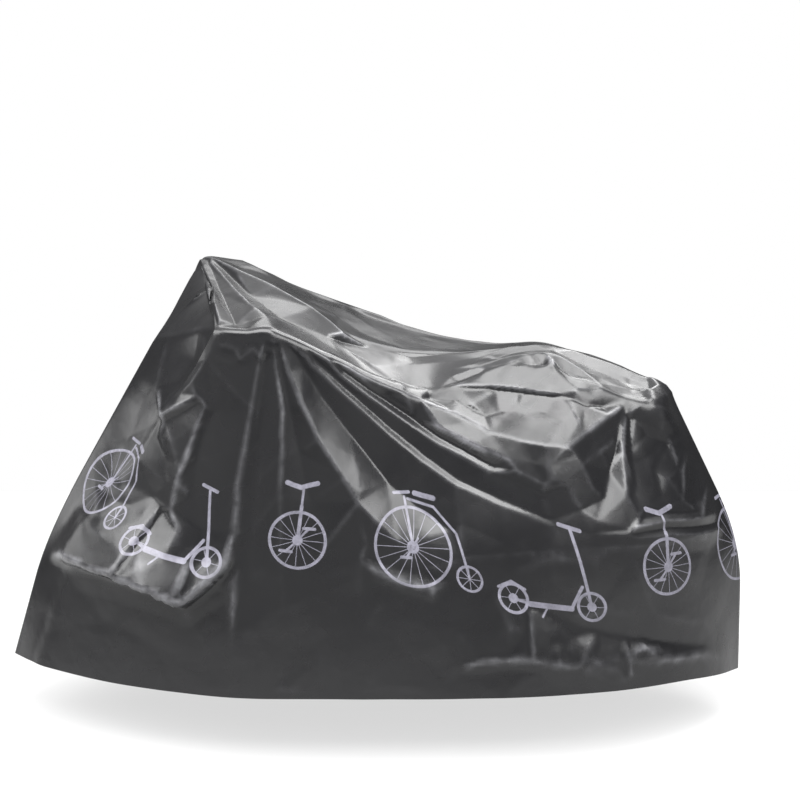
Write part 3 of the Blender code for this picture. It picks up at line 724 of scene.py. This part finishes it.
def film_material():
    """Glossy black film with fine crushing that only shows in its highlights."""
    material = bpy.data.materials.new("film")
    material.use_nodes = True
    tree = material.node_tree
    shader = tree.nodes["Principled BSDF"]
    place = tree.nodes.new("ShaderNodeTexCoord").outputs["Object"]
    shader.inputs["IOR"].default_value = 1.43
    worn = node(tree, "ShaderNodeTexNoise", Vector=place, Scale=55.0, Detail=4.0, Roughness=0.7)
    kept = node(tree, "ShaderNodeMapRange", Value=worn.outputs["Fac"], From_Min=0.30, From_Max=0.62,
                To_Min=0.55, To_Max=1.0)
    printed = maths(tree, "MULTIPLY", print_mask(tree), kept.outputs["Result"])
    inked = node(tree, "ShaderNodeMix", i6=FILM_COLOUR, i7=INK_COLOUR, i0=printed)
    inked.data_type = "RGBA"
    # painted highlight: the base colour goes lighter along crisp crests, streaked by noise, in place of their
    # glint
    crest = tree.nodes.new("ShaderNodeAttribute")
    crest.attribute_name = "crest"
    streaks = node(tree, "ShaderNodeTexNoise", Vector=place, Scale=30.0, Detail=3.0, Roughness=0.6)
    crest_highlight = maths(tree, "MULTIPLY", crest.outputs["Fac"], streaks.outputs["Fac"], clamp=True)
    crest_highlight = maths(tree, "POWER", crest_highlight, 1.5)
    crest_lit = node(tree, "ShaderNodeMix", i0=crest_highlight, i6=inked.outputs[2], i7=CREST_HIGHLIGHT_COLOUR)
    crest_lit.data_type = "RGBA"
    tree.links.new(crest_lit.outputs[2], shader.inputs["Base Color"])
    patches = node(tree, "ShaderNodeTexNoise", Vector=place, Scale=6.0, Detail=3.0, Roughness=0.6)
    rough = node(tree, "ShaderNodeMapRange", Value=patches.outputs["Fac"], From_Min=0.3, From_Max=0.7,
                 To_Min=FILM_ROUGHNESS - 0.05, To_Max=FILM_ROUGHNESS + 0.06)
    dull = maths(tree, "MULTIPLY_ADD", printed, 0.12, rough.outputs["Result"])
    tree.links.new(dull, shader.inputs["Roughness"])
    wander = node(tree, "ShaderNodeTexNoise", Vector=place, Scale=5.0, Detail=2.0)
    bent = vector_maths(tree, "ADD", place, vector_maths(tree, "SCALE", wander.outputs["Color"], i3=0.10))
    shards = node(tree, "ShaderNodeTexVoronoi", Vector=bent, Scale=13.0, Detail=1.0, Roughness=0.45)
    crushed = node(tree, "ShaderNodeMapRange", Value=patches.outputs["Fac"], From_Min=0.40, From_Max=0.65,
                   To_Min=0.10, To_Max=1.0)
    shard_height = maths(tree, "MULTIPLY", shards.outputs["Distance"], crushed.outputs["Result"])
    fine = node(tree, "ShaderNodeTexNoise", Vector=place, Scale=90.0, Detail=3.0, Roughness=0.6)
    bump = node(tree, "ShaderNodeBump", Height=shard_height, Strength=0.22, Distance=0.004)
    bump_fine = node(tree, "ShaderNodeBump", Height=fine.outputs["Fac"], Strength=0.22, Distance=0.0005,
                     Normal=bump.outputs["Normal"])
    tree.links.new(bump_fine.outputs["Normal"], shader.inputs["Normal"])
    return material


def floor_material():
    material = bpy.data.materials.new("floor")
    material.use_nodes = True
    shader = material.node_tree.nodes["Principled BSDF"]
    shader.inputs["Base Color"].default_value = FLOOR_COLOUR
    shader.inputs["Roughness"].default_value = 0.7
    shader.inputs["Specular IOR Level"].default_value = 0.0
    shader.inputs["Emission Color"].default_value = (1.0, 1.0, 1.0, 1.0)
    shader.inputs["Emission Strength"].default_value = FLOOR_GLOW
    return material


def lay_print(mesh, grids, moves, cuts):
    """The UV map, in metres along the print's row and up from its line. Each side reads from its left."""
    places = []
    for far, (grid, move) in enumerate(zip(grids, moves)):
        waist = grid[CELLS_UP[0]]
        walked = np.concatenate([[0.0], np.cumsum(np.linalg.norm(np.diff(waist, axis=0), axis=1))])
        run = np.gradient(waist, axis=0)
        run /= np.linalg.norm(run, axis=1)[:, None]
        along = walked + np.sum(move * run, axis=2)
        along = walked[-1] - along if far else along
        moved = grid + move
        up = moved[..., 2] - np.interp(moved[..., 0], *zip(*PRINT_LINE))
        flat = np.stack([along, up], axis=-1)
        corners = np.stack([flat[:-1, :-1], flat[:-1, 1:], flat[1:, 1:], flat[1:, :-1]], axis=2)
        places.append(corners[:, :, ::-1 if far else 1].reshape(-1, 4, 2))
    layer = mesh.uv_layers.new(name="flat_cloth")
    places = np.take_along_axis(np.vstack(places), cuts[:, :, None], axis=1)
    layer.data.foreach_set("uv", places.astype(np.float32).ravel())


def build_film():
    points, levels, faces, grids, ids = cover_grid()
    final, moves, crest, turned = folded(points, levels, faces, ids)
    mesh = bpy.data.meshes.new("cover_film")
    cuts = np.array(((0, 1, 2, 0, 2, 3), (0, 1, 3, 1, 2, 3)))[turned.astype(int)]
    triangles = np.take_along_axis(faces, cuts, axis=1).reshape(-1, 3)
    mesh.from_pydata((final - SEAT_PAD).tolist(), [], triangles.tolist())
    lay_print(mesh, grids, [moves[side] for side in ids], cuts)
    # the crest mask, which the film material uses to paint a highlight along crisp creases
    mesh.attributes.new("crest", "FLOAT", "POINT").data.foreach_set("value", crest.astype(np.float32))
    mesh.shade_smooth()
    mesh.materials.append(film_material())
    film = bpy.data.objects.new("cover_film", mesh)
    bpy.context.scene.collection.objects.link(film)
    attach(film, "root")
    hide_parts("cover")


def build_floor():
    mesh = bpy.data.meshes.new("floor")
    (left, front), (right, back), height = *FLOOR_CORNERS, -SEAT_PAD[2]
    corners = [(left, front, height), (right, front, height), (right, back, height), (left, back, height)]
    mesh.from_pydata(corners, [], [(0, 1, 2, 3)])
    mesh.materials.append(floor_material())
    floor = bpy.data.objects.new("floor", mesh)
    bpy.context.scene.collection.objects.link(floor)


def area_light(name, place, aim, size, radiance):
    """A softbox that shows in reflections with the given radiance (white paper in it is 1)."""
    light = bpy.data.lights.new(name, "AREA")
    light.shape = "RECTANGLE"
    light.size, light.size_y = size
    light.energy = radiance * math.pi * size[0] * size[1]
    lamp = bpy.data.objects.new(name, light)
    bpy.context.scene.collection.objects.link(lamp)
    lamp.location = Vector(place)
    lamp.visible_camera = False
    lamp.rotation_euler = (Vector(aim) - Vector(place)).to_track_quat("-Z", "Y").to_euler()


def band(tree, value, ends, low, high, kind="LINEAR"):
    """A value that goes from low to high between the two ends."""
    made = node(tree, "ShaderNodeMapRange", Value=value, From_Min=ends[0], From_Max=ends[1],
                To_Min=low, To_Max=high)
    made.interpolation_type = kind
    return made.outputs["Result"]


def build_world():
    """A studio that is dark at eye level in front, pale behind, and bright above. The camera sees white."""
    world = bpy.data.worlds.new("studio")
    bpy.context.scene.world = world
    world.use_nodes = True
    tree = world.node_tree
    tree.nodes.clear()
    generated = tree.nodes.new("ShaderNodeTexCoord").outputs["Generated"]
    way = node(tree, "ShaderNodeSeparateXYZ", Vector=generated).outputs
    overhead = band(tree, way["Z"], OVERHEAD_BAND, 0.0, OVERHEAD, "SMOOTHSTEP")
    paper = maths(tree, "MULTIPLY", band(tree, way["Y"], BEHIND_BAND, 0.0, 1.0),
                  band(tree, way["Z"], RAISED_BAND, 0.0, BEHIND))
    light = maths(tree, "ADD", maths(tree, "ADD", overhead, paper), EYE_LEVEL)
    bench = maths(tree, "MULTIPLY", band(tree, way["Z"], BENCH_FOOT_BAND, 0.0, BENCH),
                  band(tree, way["Z"], BENCH_TOP_BAND, 1.0, 0.0))
    bench = maths(tree, "MULTIPLY", bench, band(tree, way["Y"], FRONT_BAND, 1.0, 0.0))
    light = maths(tree, "ADD", light, bench)
    lit = node(tree, "ShaderNodeBackground", Color=(1.0, 1.0, 1.0, 1.0), Strength=light)
    white = node(tree, "ShaderNodeBackground", Color=(1.0, 1.0, 1.0, 1.0), Strength=1.0)
    seen = tree.nodes.new("ShaderNodeLightPath").outputs["Is Camera Ray"]
    mixed = node(tree, "ShaderNodeMixShader", i0=seen, i1=lit.outputs["Background"],
                 i2=white.outputs["Background"])
    node(tree, "ShaderNodeOutputWorld", Surface=mixed.outputs["Shader"])


def build_studio():
    build_world()
    for box in SOFTBOXES:
        area_light(*box)
    camera = bpy.data.objects.new("camera", bpy.data.cameras.new("camera"))
    camera.data.lens, camera.data.sensor_width = LENS, SENSOR
    camera.location = CAMERA_PLACE
    camera.rotation_euler = (math.radians(CAMERA_TILT), 0.0, 0.0)
    bpy.context.scene.collection.objects.link(camera)
    bpy.context.scene.camera = camera
    bpy.context.scene.view_settings.view_transform = "Standard"


build_film()
build_floor()
build_studio()
